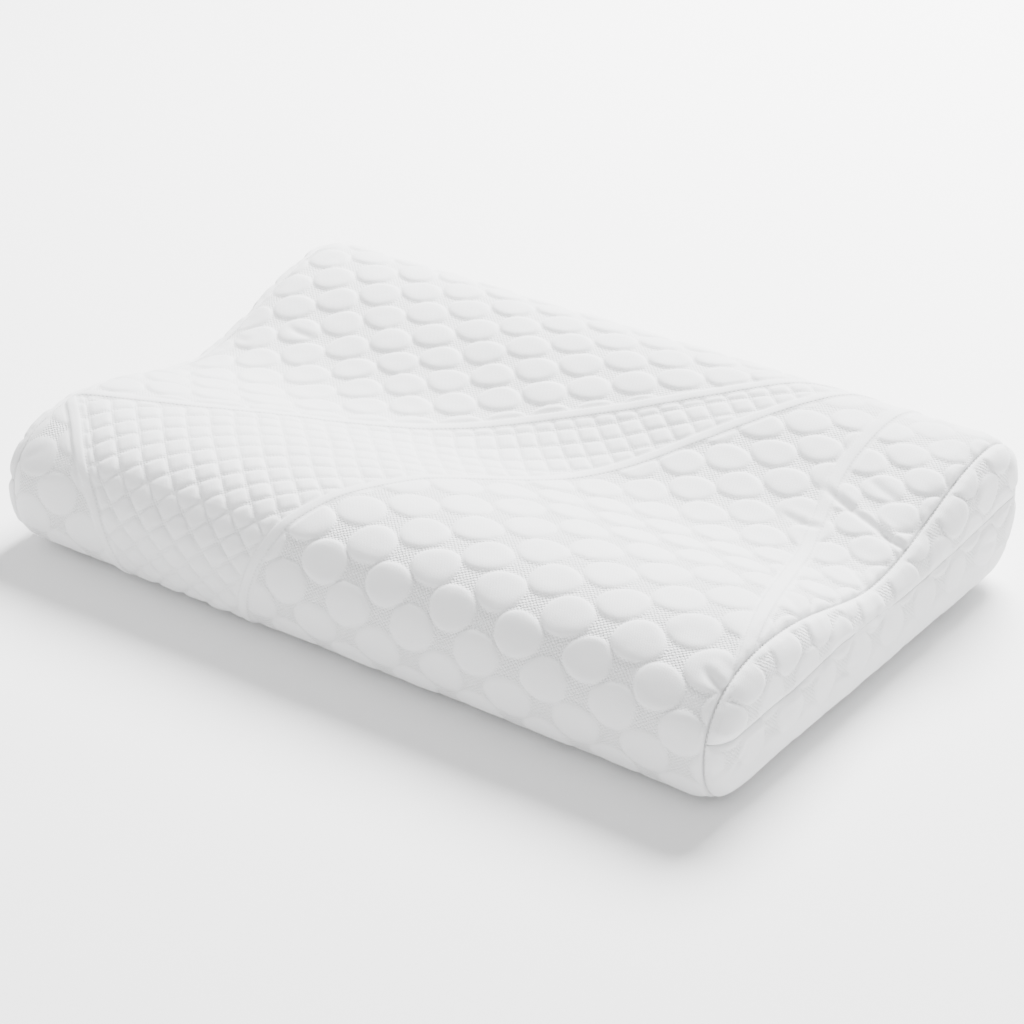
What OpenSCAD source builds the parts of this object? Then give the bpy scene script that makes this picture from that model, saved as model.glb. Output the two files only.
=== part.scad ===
// Contour bed pillow: a moulded foam core in a knitted liner, inside a quilted
// knit cover of six sewn panels that opens with a zip along the back.
// +X runs along the pillow, -Y is the low front lobe, +Y the high back lobe and
// +Z is up. The origin is the middle of the flat base.

/* [Pillow] */
// Length from end to end
pillow_len = 600; // [450:10:750]
// Depth from the front face to the back face
pillow_depth = 385; // [340:5:420]
// How far along the pillow the rounding of each end reaches
end_round = 28; // [22:1:30]
// How far the section shrinks from there to the flat end face
end_inset = 24; // [18:1:26]

/* [Section] */
// Height of the low lobe along the front
front_lobe_h = 98; // [88:1:106]
// Distance from the front face back to the crest of the low lobe
front_crest_in = 74; // [64:1:84]
// Height of the hollow for the head
hollow_h = 76; // [66:1:84]
// Distance from the front face back to the lowest line of the hollow
hollow_in = 201; // [190:1:212]
// Height of the high lobe along the back
back_lobe_h = 111; // [100:1:116]
// Distance from the back face forward to the crest of the high lobe
back_crest_in = 43; // [38:1:50]
// Height at which the front face stands out furthest
front_bulge_h = 39; // [34:1:44]
// Height at which the back face stands out furthest, which is the zip line
back_bulge_h = 64; // [58:1:68]
// Distance from the front face back to the edge of the flat base
front_foot_in = 35; // [32:1:42]
// Distance from the back face forward to the edge of the flat base
back_foot_in = 51; // [46:1:58]

/* [Cover] */
// Thickness of the quilted knit
cover_t = 5; // [4:0.5:6]
// Thickness of the flattened hem beside the zip
hem_t = 3.4; // [3:0.1:3.6]
// Angle round the end at which the rim seam lies
rim_seam_angle = 36.5; // [30:0.5:42]
// Gap between two sewn panel edges, which the seam thread fills
seam_gap = 1.4; // [1.2:0.1:2]
// Diameter of the seam thread chain
thread_d = 1; // [0.6:0.1:1.1]
// Height of the cross seam of an end where it starts at the front face
cross_seam_h = 53; // [44:1:58]
// How far the cross seam dips under the hollow
cross_seam_dip = 10.5; // [10:0.5:14]
// Thickness of the knitted liner
liner_t = 0.7; // [0.5:0.1:1]

/* [Zip] */
// Length of the zip chain
zip_len = 500; // [400:10:500]
// Opening between the two hems over the chain
zip_slot = 11; // [10.6:0.1:12]
// Width of one tape
tape_w = 16; // [14:0.5:16]
// Width of one coil
coil_w = 2.6; // [2.2:0.1:2.7]
// Height of the coils above the tape
coil_h = 2.2; // [2:0.1:2.3]
// Length of the slider
slider_len = 12; // [10:0.5:14]
// Width of the slider
slider_w = 9.6; // [9:0.1:9.8]
// Length of the pull tab below its eye
pull_len = 23; // [16:1:28]
// Width of the pull tab
pull_w = 6; // [5:0.5:7]

/* [Label] */
// Width of the blank care label
label_w = 28; // [20:1:40]
// Length of the blank care label
label_len = 18; // [12:1:22]

/* [Hidden] */

// Curve quality
per_segment = 8;
cord_sides = 8;

// Layers, as depths below the outer surface of the cover
layer_gap = 0.2;
tape_depth = hem_t + layer_gap;
tape_t = 0.6;
wing_gap = 0.15;
wing_t = 0.9;
liner_depth = cover_t + 2 * layer_gap;
core_depth = liner_depth + liner_t + layer_gap;
liner_seam_angle = 81;

// Pull of each smooth bend of the section, before and after its knot
front_foot_pull = 21;
front_bulge_pull = [25, 40];
front_crest_pull = [42, 56];
hollow_pull = [38, 46];
back_crest_pull = [47, 31];
back_bulge_pull = [29, 38];
back_foot_pull = 33;

// The front and back faces stand at equal distances from the origin
front_y = -pillow_depth / 2;
back_y = pillow_depth / 2;
front_foot = [front_y + front_foot_in, 0];
back_foot = [back_y - back_foot_in, 0];
base_third = (back_foot - front_foot) / 3;

// Knots of the section, each with its handle before and its handle after
KNOTS = [
    [front_foot, base_third, [-front_foot_pull, 0]],
    [[front_y, front_bulge_h], [0, -front_bulge_pull[0]], [0, front_bulge_pull[1]]],
    [[front_y + front_crest_in, front_lobe_h], [-front_crest_pull[0], 0], [front_crest_pull[1], 0]],
    [[front_y + hollow_in, hollow_h], [-hollow_pull[0], 0], [hollow_pull[1], 0]],
    [[back_y - back_crest_in, back_lobe_h], [-back_crest_pull[0], 0], [back_crest_pull[1], 0]],
    [[back_y, back_bulge_h], [0, back_bulge_pull[0]], [0, -back_bulge_pull[1]]],
    [back_foot, [back_foot_pull, 0], -base_third],
];
SIDES = len(KNOTS);
SEGMENTS = [
    for (i = [0:SIDES - 1])
        let (a = KNOTS[i], b = KNOTS[(i + 1) % SIDES])
            [a[0], a[0] + a[2], b[0] + b[1], b[0]]
];

// Places on the section, counted in segments from the front foot
U_FRONT_BULGE = 1;
U_ZIP = 5;
U_BACK_FOOT = 6;
U_END = SIDES;
function above_zip(h) = U_ZIP - h / (3 * back_bulge_pull[0]);
function below_zip(h) = U_ZIP + h / (3 * back_bulge_pull[1]);
cross_seam_u = U_FRONT_BULGE + (cross_seam_h - front_bulge_h) / (3 * front_bulge_pull[1]);
half_gap_foot = seam_gap / 2 / (3 * front_foot_pull);
half_gap_base = seam_gap / 2 / norm(back_foot - front_foot);
hem_spare = 1.5;
hem_reach = tape_w + hem_spare;
hem_step = 0.01;
hem_rows_above = 3;
hem_rows_below = 2;
// Least distance from a panel's edge to its next place, in steps of the curve
edge_steps = 1.3;

// Stations along the pillow: [x, angle round the end]
straight_x = pillow_len / 2 - end_round;
half_gap_angle = asin(seam_gap / 2 / end_round);
slot_spare = 4;
slot_x = zip_len / 2 + slot_spare;
slot_end = 2;
end_rows = 4;

// The zip's own frame: x along the chain, y out of the back face, z up
zip_y = back_y - tape_depth;
zip_z = back_bulge_h;
chain_gap = 1.2;
tape_rows = 4;
sew_gap = 0.05;
coil_corner = 0.9;
stop_len = 2.5;
stop_gap = 0.1;
stop_proud = 0.3;
slider_from_end = 3;
slider_rest_x = zip_len / 2 - slider_from_end - slider_len / 2;
wing_clear = 0.2;
wing_outer_y = zip_y + coil_h + wing_clear;
wing_wide_r = 2;
wing_narrow_r = 1.5;
wing_taper = 0.7;
bar_r = 0.75;
eye_bore_r = 0.95;
eye_r = 1.65;
eye_len = 3;
eye_clear = 0.35;
bar_y = wing_outer_y + wing_t + eye_r + eye_clear;
post_x = 2.6;
post_len = 1.2;
post_w = 2;
divider_len = 3;
divider_w = 0.7;
divider_from_nose = 1;
flange_clear = 0.3;
flange_t = 0.8;
flange_from_end = 2.5;
flange_in = chain_gap / 2 + coil_w + flange_clear;
tab_t = 1.4;
tab_hole_r = 1.4;

label_t = 0.5;
label_rows = 4;
label_below_zip = 1.5;
label_from_end = 38;
label_x = -pillow_len / 2 + label_from_end;

fabric = "white";
knit = "whitesmoke";
foam = "lightyellow";
thread = "gainsboro";
tape = "ghostwhite";
metal = "silver";

// ---- Curves and surfaces ----

function bezier(p, t) =
    let (s = 1 - t)
        s * s * s * p[0] + 3 * s * s * t * p[1] + 3 * s * t * t * p[2] + t * t * t * p[3];

function bezier_slope(p, t) =
    let (s = 1 - t)
        3 * (s * s * (p[1] - p[0]) + 2 * s * t * (p[2] - p[1]) + t * t * (p[3] - p[2]));

function segment_of(u) = min(floor(u), SIDES - 1);

// Outward direction of the section at u, as [y, z]
function section_out(u) =
    let (i = segment_of(u), d = bezier_slope(SEGMENTS[i], u - i))
        [-d[1], d[0]] / norm(d);

// Point of the section at u, sunk by depth
function section_at(u, depth) =
    let (i = segment_of(u))
        bezier(SEGMENTS[i], u - i) - depth * section_out(u);

// Point of the whole surface at u and a station, sunk by depth
function surface_at(u, station, depth) =
    let (
        k = station[1],
        side = sign(station[0]),
        p = section_at(u, end_inset - (end_inset - depth) * cos(k))
    )
        [station[0] + side * (end_round - depth) * sin(k), p[0], p[1]];

function surface_out(u, station) =
    let (k = station[1], n = section_out(u))
        [sign(station[0]) * sin(k), cos(k) * n[0], cos(k) * n[1]];

// Half of a seam gap at u, as a step of u, on the shrunken section of the end face
function half_gap_at(u) =
    let (step = 0.01, a = section_at(u - step, end_inset), b = section_at(u + step, end_inset))
        seam_gap / 2 * 2 * step / norm(b - a);

function spread(a, b, n) = [for (i = [0:n]) a + (b - a) * i / n];

// Points across the flat face of an end, which dip under the hollow on the way
function seam_line(a, b, n) = [
    for (i = [0:n])
        let (t = i / n)
            a + (b - a) * t - [0, 0, cross_seam_dip * pow(sin(180 * t), 2)]
];

// Places on the section from a to b, close together where it bends: the flat
// base between the two feet needs none
function section_places(a, b) =
    let (
        first = floor(a * per_segment + edge_steps),
        last = min(ceil(b * per_segment - edge_steps), U_BACK_FOOT * per_segment)
    )
        concat([a], [for (i = [first:last]) i / per_segment], [b]);

function quad(a, b, c, d) = [[a, b, c], [a, c, d]];
function flatten(lists) = [for (l = lists) each l];
function reverse(l) = [for (i = [len(l) - 1:-1:0]) l[i]];

// A closed skin between an outer and an inner grid of points, open at its edges
module skin(outer, inner) {
    m = len(outer);
    n = len(outer[0]);
    points = concat(flatten(outer), flatten(inner));
    function o(i, j) = i * n + j;
    function q(i, j) = m * n + i * n + j;
    faces = concat(
        [for (i = [0:m - 2], j = [0:n - 2])
            each quad(o(i, j), o(i, j + 1), o(i + 1, j + 1), o(i + 1, j))],
        [for (i = [0:m - 2], j = [0:n - 2])
            each quad(q(i, j), q(i + 1, j), q(i + 1, j + 1), q(i, j + 1))],
        [for (i = [0:m - 2])
            each concat(
                quad(o(i, 0), o(i + 1, 0), q(i + 1, 0), q(i, 0)),
                quad(o(i + 1, n - 1), o(i, n - 1), q(i, n - 1), q(i + 1, n - 1)))],
        [for (j = [0:n - 2])
            each concat(
                quad(o(0, j + 1), o(0, j), q(0, j), q(0, j + 1)),
                quad(o(m - 1, j), o(m - 1, j + 1), q(m - 1, j + 1), q(m - 1, j)))]
    );
    polyhedron(points, faces);
}

// Half of a dished end: rings round the end, closed by a flat face, on an outer
// and an inner surface. The rings follow the places in us, and the flat face
// ends along the cross seam between the first and the last of them.
module dish(us, side, angles, outer_depth, inner_depth) {
    m = len(angles);
    n = len(us);
    stations = [for (k = angles) [side * straight_x, k]];
    depths = [outer_depth, inner_depth];
    points = flatten([
        for (depth = depths)
            let (rings = [for (s = stations, u = us) surface_at(u, s, depth)])
                concat(rings, seam_line(rings[(m - 1) * n], rings[m * n - 1], n - 1))
    ]);
    // Vertices: o() on the outer rings and q() on the inner; row m is the seam line
    function row(i, j) = (i < m || j == 0 || j == n - 1) ? min(i, m - 1) * n + j : m * n + j;
    function o(i, j) = row(i, j);
    function q(i, j) = (m + 1) * n + row(i, j);
    faces = concat(
        [for (i = [0:m - 1], j = [0:n - 2])
            each concat(
                quad(o(i, j), o(i, j + 1), o(i + 1, j + 1), o(i + 1, j)),
                quad(q(i, j), q(i + 1, j), q(i + 1, j + 1), q(i, j + 1)))],
        [for (j = [0:n - 2])
            each concat(
                quad(o(0, j + 1), o(0, j), q(0, j), q(0, j + 1)),
                quad(o(m, j), o(m, j + 1), q(m, j + 1), q(m, j)))],
        [for (i = [0:m - 2])
            each concat(
                quad(o(i, 0), o(i + 1, 0), q(i + 1, 0), q(i, 0)),
                quad(o(i + 1, n - 1), o(i, n - 1), q(i, n - 1), q(i + 1, n - 1)))]
    );
    whole = [for (f = faces) if (f[0] != f[1] && f[1] != f[2] && f[2] != f[0]) f];
    polyhedron(points, side > 0 ? whole : [for (f = whole) reverse(f)]);
}

// A round thread along a path of points, each with the surface's outward direction
module cord(path, outs, closed = false) {
    n = len(path);
    rings = [
        for (i = [0:n - 1])
            let (
                a = path[closed ? (i + n - 1) % n : max(i - 1, 0)],
                b = path[closed ? (i + 1) % n : min(i + 1, n - 1)],
                side = cross((b - a) / norm(b - a), outs[i])
            )
                [for (j = [0:cord_sides - 1])
                    let (turn = 360 * j / cord_sides)
                        path[i] + thread_d / 2 * (cos(turn) * outs[i] + sin(turn) * side)]
    ];
    last = closed ? n - 1 : n - 2;
    function o(i, j) = (i % n) * cord_sides + j % cord_sides;
    faces = concat(
        [for (i = [0:last], j = [0:cord_sides - 1])
            each quad(o(i, j), o(i, j + 1), o(i + 1, j + 1), o(i + 1, j))],
        closed ? [] : [
            [for (j = [cord_sides - 1:-1:0]) o(0, j)],
            [for (j = [0:cord_sides - 1]) o(n - 1, j)]
        ]
    );
    polyhedron(flatten(rings), faces);
}

// ---- Core and liner ----

ALL_ROUND = [for (i = [0:U_BACK_FOOT * per_segment]) i / per_segment];

// Angles round an end; core and liner share them, so that their facets stay parallel
CORE_ANGLES = concat([90, liner_seam_angle], spread(72, 0, 4));
SLEEVE_ANGLES = [for (k = CORE_ANGLES) if (k <= liner_seam_angle) k];

function both_ends(angles) = concat(
    [for (k = angles) [-straight_x, k]],
    [for (k = reverse(angles)) [straight_x, k]]
);

// One moulded block; each ring runs over the top and back along the flat base,
// and the two runs have as many points, so that each end face is a ladder of them
module foam_core() {
    stations = both_ends(CORE_ANGLES);
    m = len(stations);
    n = len(ALL_ROUND);
    ring_len = 2 * n - 2;
    function ring(s) =
        let (top = [for (u = ALL_ROUND) surface_at(u, s, core_depth)])
            let (base = spread(top[0], top[n - 1], n - 1))
                concat(top, [for (j = [n - 2:-1:1]) base[j]]);
    function o(i, j) = i * ring_len + j % ring_len;
    function below(j) = (ring_len - j) % ring_len;
    end_faces = [for (j = [0:n - 2]) each quad(j, j + 1, below(j + 1), below(j))];
    ends = [for (f = end_faces) if (f[0] != f[1] && f[1] != f[2] && f[2] != f[0]) f];
    color(foam)
    polyhedron(
        [for (s = stations) each ring(s)],
        concat(
            [for (i = [0:m - 2], j = [0:ring_len - 1])
                each quad(o(i, j), o(i, j + 1), o(i + 1, j + 1), o(i + 1, j))],
            [for (f = ends) reverse(f)],
            [for (f = ends) [for (v = f) (m - 1) * ring_len + v]]
        )
    );
}

// A tube round the core, up to the edges of its two end faces
module liner_sleeve() {
    n = len(ALL_ROUND);
    stations = both_ends(SLEEVE_ANGLES);
    m = len(stations);
    function o(i, j) = i * n + j % n;
    function q(i, j) = m * n + i * n + j % n;
    color(knit)
    polyhedron(
        concat(
            [for (s = stations, u = ALL_ROUND) surface_at(u, s, liner_depth)],
            [for (s = stations, u = ALL_ROUND) surface_at(u, s, liner_depth + liner_t)]
        ),
        concat(
            [for (i = [0:m - 2], j = [0:n - 1])
                each concat(
                    quad(o(i, j), o(i, j + 1), o(i + 1, j + 1), o(i + 1, j)),
                    quad(q(i, j), q(i + 1, j), q(i + 1, j + 1), q(i, j + 1)))],
            [for (j = [0:n - 1])
                each concat(
                    quad(o(0, j + 1), o(0, j), q(0, j), q(0, j + 1)),
                    quad(o(m - 1, j), o(m - 1, j + 1), q(m - 1, j + 1), q(m - 1, j)))]
        )
    );
}

// A flat piece that closes the liner over the core's end face
module liner_end(side) {
    x = pillow_len / 2 - liner_depth - liner_t;
    color(knit)
    translate([side > 0 ? x : -x - liner_t, 0, 0])
    rotate([90, 0, 90])
    linear_extrude(liner_t)
    polygon([for (u = ALL_ROUND) section_at(u, end_inset + layer_gap)]);
}

module liner_end_left() liner_end(-1);
module liner_end_right() liner_end(1);

// ---- Cover panels ----

// Stations of a long panel, with the zip slot's two ends
PANEL_STATIONS = let (seam = rim_seam_angle - half_gap_angle) concat(
    [for (k = spread(seam, 0, 3)) [-straight_x, k]],
    [for (x = [-slot_x, -slot_x + slot_end, slot_x - slot_end, slot_x]) [x, 0]],
    [for (k = spread(0, seam, 3)) [straight_x, k]]
);

function in_slot(station) = abs(station[0]) < slot_x - slot_end / 2;

// Half of the opening between the two hems at a station
function half_slot(station) = in_slot(station) ? zip_slot / 2 : layer_gap;

function hem_depth(is_hem) = is_hem ? hem_t : cover_t;

// The front face, the top and the upper back, down to the zip
module top_panel() {
    full = section_places(half_gap_foot, above_zip(hem_reach) - hem_step);
    function places(s) = concat(full, spread(above_zip(hem_reach), above_zip(half_slot(s)), hem_rows_above));
    color(fabric)
    skin(
        [for (s = PANEL_STATIONS) [for (u = places(s)) surface_at(u, s, 0)]],
        [for (s = PANEL_STATIONS)
            let (us = places(s))
                [for (j = [0:len(us) - 1]) surface_at(us[j], s, hem_depth(j >= len(full)))]]
    );
}

// The lower back, from the zip down, and the flat base
module bottom_panel() {
    full = section_places(below_zip(hem_reach) + hem_step, U_END - half_gap_base);
    function places(s) = concat(spread(below_zip(half_slot(s)), below_zip(hem_reach), hem_rows_below), full);
    color(fabric)
    skin(
        [for (s = PANEL_STATIONS) [for (u = places(s)) surface_at(u, s, 0)]],
        [for (s = PANEL_STATIONS)
            let (us = places(s))
                [for (j = [0:len(us) - 1]) surface_at(us[j], s, hem_depth(j <= hem_rows_below))]]
    );
}

END_ANGLES = spread(rim_seam_angle + half_gap_angle, 90, end_rows);

module end_upper(side) {
    us = section_places(cross_seam_u + half_gap_at(cross_seam_u), U_ZIP - half_gap_at(U_ZIP));
    color(fabric)
    dish(us, side, END_ANGLES, 0, cover_t);
}

module end_lower(side) {
    round_back = section_places(U_ZIP + half_gap_at(U_ZIP), U_END - half_gap_base);
    round_front = section_places(0, cross_seam_u - half_gap_at(cross_seam_u));
    color(fabric)
    dish(concat(round_back, round_front), side, END_ANGLES, 0, cover_t);
}

module end_upper_left() end_upper(-1);
module end_upper_right() end_upper(1);
module end_lower_left() end_lower(-1);
module end_lower_right() end_lower(1);

// ---- Seam threads ----

module rim_thread(side) {
    station = [side * straight_x, rim_seam_angle];
    color(thread)
    cord(
        [for (u = ALL_ROUND) surface_at(u, station, seam_gap / 2)],
        [for (u = ALL_ROUND) surface_out(u, station)],
        closed = true
    );
}

module rim_thread_left() rim_thread(-1);
module rim_thread_right() rim_thread(1);

// Round the end from the front rim seam, across the flat face, to the back one
module cross_thread(side) {
    angles = spread(rim_seam_angle + 2 * half_gap_angle, 90, end_rows);
    stations = [for (k = angles) if (k < 90) [side * straight_x, k]];
    back = reverse(stations);
    flat = [side * straight_x, 90];
    depth = seam_gap / 2;
    across = seam_line(
        surface_at(cross_seam_u, flat, depth), surface_at(U_ZIP, flat, depth), 4 * per_segment
    );
    color(thread)
    cord(
        concat(
            [for (s = stations) surface_at(cross_seam_u, s, depth)],
            across,
            [for (s = back) surface_at(U_ZIP, s, depth)]
        ),
        concat(
            [for (s = stations) surface_out(cross_seam_u, s)],
            [for (p = across) [side, 0, 0]],
            [for (s = back) surface_out(U_ZIP, s)]
        )
    );
}

module cross_thread_left() cross_thread(-1);
module cross_thread_right() cross_thread(1);

// Joins the top panel to the base under the front edge
module base_thread() {
    color(thread)
    translate([-straight_x, front_foot[0], seam_gap / 2])
    rotate([0, 90, 0])
    cylinder(d = thread_d, h = 2 * straight_x, $fn = 24);
}

// ---- Zip ----

// A tape that follows the curve of the back between two places on the section
module zip_tape(near, far) {
    us = spread(near, far, tape_rows);
    color(tape)
    translate([-zip_len / 2, 0, 0])
    rotate([90, 0, 90])
    linear_extrude(zip_len)
    polygon(concat(
        [for (u = us) section_at(u, tape_depth)],
        [for (u = reverse(us)) section_at(u, tape_depth + tape_t)]
    ));
}

module zip_tape_upper() zip_tape(above_zip(chain_gap / 2), above_zip(tape_w));
module zip_tape_lower() zip_tape(below_zip(chain_gap / 2), below_zip(tape_w));

// One coil, a long oval bar sewn to the edge of its tape; side is 1 above, -1 below
module zip_coil(side) {
    flat_h = coil_h - sew_gap - coil_corner;
    color(tape)
    translate([-zip_len / 2, zip_y + sew_gap, zip_z + side * (chain_gap + coil_w) / 2])
    rotate([90, 0, 90])
    linear_extrude(zip_len)
    union() {
        translate([0, -coil_w / 2])
        square([flat_h, coil_w]);
        translate([flat_h, -coil_w / 2 + coil_corner])
        square([coil_corner, coil_w - 2 * coil_corner]);
        for (z = [-1, 1])
            translate([flat_h, z * (coil_w / 2 - coil_corner)])
            circle(r = coil_corner, $fn = 24);
    }
}

module zip_coil_upper() difference() { zip_coil(1); stop_space(); }
module zip_coil_lower() difference() { zip_coil(-1); stop_space(); }

// Room for the three stops at the two ends of the chain
module stop_space() {
    for (side = [-1, 1])
        translate([side * (zip_len - stop_len) / 2, zip_y, zip_z])
        cube([stop_len + stop_gap, 4 * coil_h, 2 * (chain_gap + coil_w)], center = true);
}

// A stop clenched on the coil; width is its size across the chain
module zip_stop(x, z, width) {
    color(metal)
    translate([x - stop_len / 2 + stop_gap, zip_y + sew_gap, z - width / 2])
    cube([stop_len - 2 * stop_gap, coil_h + stop_proud, width]);
}

module zip_stop_upper()
    zip_stop((zip_len - stop_len) / 2, zip_z + (chain_gap + coil_w) / 2, coil_w);
module zip_stop_lower()
    zip_stop((zip_len - stop_len) / 2, zip_z - (chain_gap + coil_w) / 2, coil_w);
module zip_stop_closed()
    zip_stop(-(zip_len - stop_len) / 2, zip_z, chain_gap + 2 * coil_w);

// Outline of a slider wing: a rounded shield, narrower where the chain is closed
module wing_outline() {
    hull() {
        for (z = [-1, 1]) {
            translate([slider_len / 2 - wing_wide_r, z * (slider_w / 2 - wing_wide_r)])
            circle(r = wing_wide_r, $fn = 32);
            translate([wing_narrow_r - slider_len / 2, z * (slider_w / 2 - wing_narrow_r - wing_taper)])
            circle(r = wing_narrow_r, $fn = 32);
        }
    }
}

// Extrudes a shape drawn along and across the chain, from y outwards
module on_back(y, h) {
    translate([slider_rest_x, y, zip_z])
    rotate([-90, 0, 0])
    linear_extrude(h)
    children();
}

module zip_slider() {
    lower_y = zip_y - tape_t - wing_gap - wing_t;
    post_y = wing_outer_y + wing_t / 2;
    color(metal)
    union() {
        on_back(lower_y, wing_t) wing_outline();
        on_back(wing_outer_y, wing_t) wing_outline();
        // divider between the wings, in the gap between the coils
        on_back(lower_y + wing_t / 2, wing_outer_y - lower_y)
            translate([slider_len / 2 - divider_from_nose - divider_len, -divider_w / 2])
            square([divider_len, divider_w]);
        // flanges of the outer wing, beside the coils
        for (side = [-1, 1])
            on_back(zip_y + flange_clear, wing_outer_y - zip_y)
                translate([flange_from_end - slider_len / 2, side > 0 ? flange_in : -flange_in - flange_t])
                square([slider_len - 2 * flange_from_end, flange_t]);
        // posts and bar that carry the pull tab
        for (side = [-1, 1])
            translate([slider_rest_x + side * post_x - post_len / 2, post_y, zip_z - post_w / 2])
            cube([post_len, bar_y + bar_r - post_y, post_w]);
        translate([slider_rest_x - post_x, bar_y, zip_z])
        rotate([0, 90, 0])
        cylinder(r = bar_r, h = 2 * post_x, $fn = 32);
    }
}

module zip_pull_tab() {
    color(metal)
    difference() {
        union() {
            translate([slider_rest_x - eye_len / 2, bar_y, zip_z])
            rotate([0, 90, 0])
            cylinder(r = eye_r, h = eye_len, $fn = 48);
            translate([slider_rest_x, bar_y - tab_t / 2, zip_z])
            rotate([-90, 0, 0])
            linear_extrude(tab_t)
            tab_outline();
        }
        translate([slider_rest_x - eye_len, bar_y, zip_z])
        rotate([0, 90, 0])
        cylinder(r = eye_bore_r, h = 2 * eye_len, $fn = 48);
    }
}

// The tab hangs from its eye; y grows downwards here
module tab_outline() {
    neck_w = eye_len;
    neck_len = 6;
    difference() {
        union() {
            translate([-neck_w / 2, eye_bore_r]) square([neck_w, neck_len]);
            hull() {
                translate([0, neck_len]) circle(d = neck_w, $fn = 32);
                translate([0, pull_len - pull_w / 2]) circle(d = pull_w, $fn = 48);
            }
        }
        translate([0, pull_len - pull_w / 2]) circle(r = tab_hole_r, $fn = 32);
    }
}

// ---- Label ----

// A blank folded label that lies on the lower back below the seam
module care_label() {
    us = spread(below_zip(label_below_zip), below_zip(label_below_zip + label_len), label_rows);
    color(fabric)
    translate([label_x - label_w / 2, 0, 0])
    rotate([90, 0, 90])
    linear_extrude(label_w)
    polygon(concat(
        [for (u = us) section_at(u, -layer_gap)],
        [for (u = reverse(us)) section_at(u, -layer_gap - label_t)]
    ));
}

foam_core();
liner_sleeve();
liner_end_left();
liner_end_right();
top_panel();
bottom_panel();
end_upper_left();
end_upper_right();
end_lower_left();
end_lower_right();
rim_thread_left();
rim_thread_right();
cross_thread_left();
cross_thread_right();
base_thread();
zip_tape_upper();
zip_tape_lower();
zip_coil_upper();
zip_coil_lower();
zip_stop_upper();
zip_stop_lower();
zip_stop_closed();
zip_slider();
zip_pull_tab();
care_label();
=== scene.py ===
import math

import bpy
import numpy as np
from mathutils import Matrix, Vector, geometry, kdtree


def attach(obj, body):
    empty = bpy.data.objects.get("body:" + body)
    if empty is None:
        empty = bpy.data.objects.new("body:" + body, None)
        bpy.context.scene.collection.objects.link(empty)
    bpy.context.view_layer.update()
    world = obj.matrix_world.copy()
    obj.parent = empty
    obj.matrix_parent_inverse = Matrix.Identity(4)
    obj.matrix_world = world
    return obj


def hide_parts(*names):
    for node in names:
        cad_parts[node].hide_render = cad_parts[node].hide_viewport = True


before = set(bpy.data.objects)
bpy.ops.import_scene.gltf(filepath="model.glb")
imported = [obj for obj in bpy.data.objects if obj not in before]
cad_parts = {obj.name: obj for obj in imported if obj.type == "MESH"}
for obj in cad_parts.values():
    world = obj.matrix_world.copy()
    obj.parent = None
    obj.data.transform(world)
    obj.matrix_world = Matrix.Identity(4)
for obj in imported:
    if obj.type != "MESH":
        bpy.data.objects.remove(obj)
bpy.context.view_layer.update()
MM = 0.001

# Sizes of the pillow in millimetres, as the CAD model has them
PILLOW_LEN = 600.0
END_ROUND = 28.0
END_INSET = 24.0
STRAIGHT = PILLOW_LEN / 2 - END_ROUND
RIM_ANGLE = math.radians(36.5)
RIM_W = STRAIGHT + END_ROUND * RIM_ANGLE
FRONT_Y, BACK_Y = -192.5, 192.5
HOLLOW_Y = 8.5
ZIP_HALF = 250.0
ZIP_Z = 64.0
ZIP_Y = 188.9
LABEL_W, LABEL_LEN = 28.0, 18.0

# Knots of the section: place, handle before it and handle after it
FOOT_F, FOOT_B = (-157.5, 0.0), (141.5, 0.0)
BASE_THIRD = (FOOT_B[0] - FOOT_F[0]) / 3
KNOTS = [
    (FOOT_F, (BASE_THIRD, 0), (-21, 0)),
    ((FRONT_Y, 39), (0, -25), (0, 40)),
    ((-118.5, 98), (-42, 0), (56, 0)),
    ((HOLLOW_Y, 76), (-38, 0), (46, 0)),
    ((149.5, 111), (-47, 0), (31, 0)),
    ((BACK_Y, ZIP_Z), (0, 29), (0, -38)),
    (FOOT_B, (33, 0), (-BASE_THIRD, 0)),
]

# How the quilted cover is made up, in millimetres
COVER_START = 1.6     # the cloth starts this far inside the CAD surface and swells out
PAD_H = 2.0           # height of a round pad over the open knit
DIAMOND_H = 1.6
RIBBON_HALF = 4.6
RIBBON_H = 1.8
RIBBON_DIP = 0.4      # how much of the quilting is left in the groove beside a ribbon
RIGHT_THIN = 0.85     # the right ribbon is wider than the others by this ratio
SEAM_HALF = 0.3
CROSS_HALF = 0.12     # half gap of the cross seam of an end at the front
ROLL_DEPTH = 2.6
ROLL_WIDTH = 3.4
TUCK_DEPTH = 5.0
SEAM_SUNK = COVER_START + 0.86 * ROLL_DEPTH
END_PROUD = 1.4       # the end panels stand this much prouder than their pads alone would
HEM_STITCH_IN = 14.5  # distance of the hem's stitch line from the zip
SLIT_HALF = 0.5       # half gap between the two long panels beyond the ends of the zip
SLOT_WIDER = 5.0      # how much wider that is on each side along the zip
TAPE_FACE = 3.6       # depth of the tapes' outer face below the cover's surface
TAPE_BACK = 4.2
STITCH_PITCH = 3.0
STITCH_LEN = 2.5
STITCH_THICK = 0.8

# Limits on how far the simulated cloth may carry a point outwards and sideways, in millimetres
CLOTH_CAP = 2.4
CLOTH_SINK = -0.2
CLOTH_SLIP = 0.8
CLOTH_FRAMES = 20
CLOTH_VOXEL = 5.8
PIN_REACH = 5.2


# ---- Section and surface ----

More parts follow.
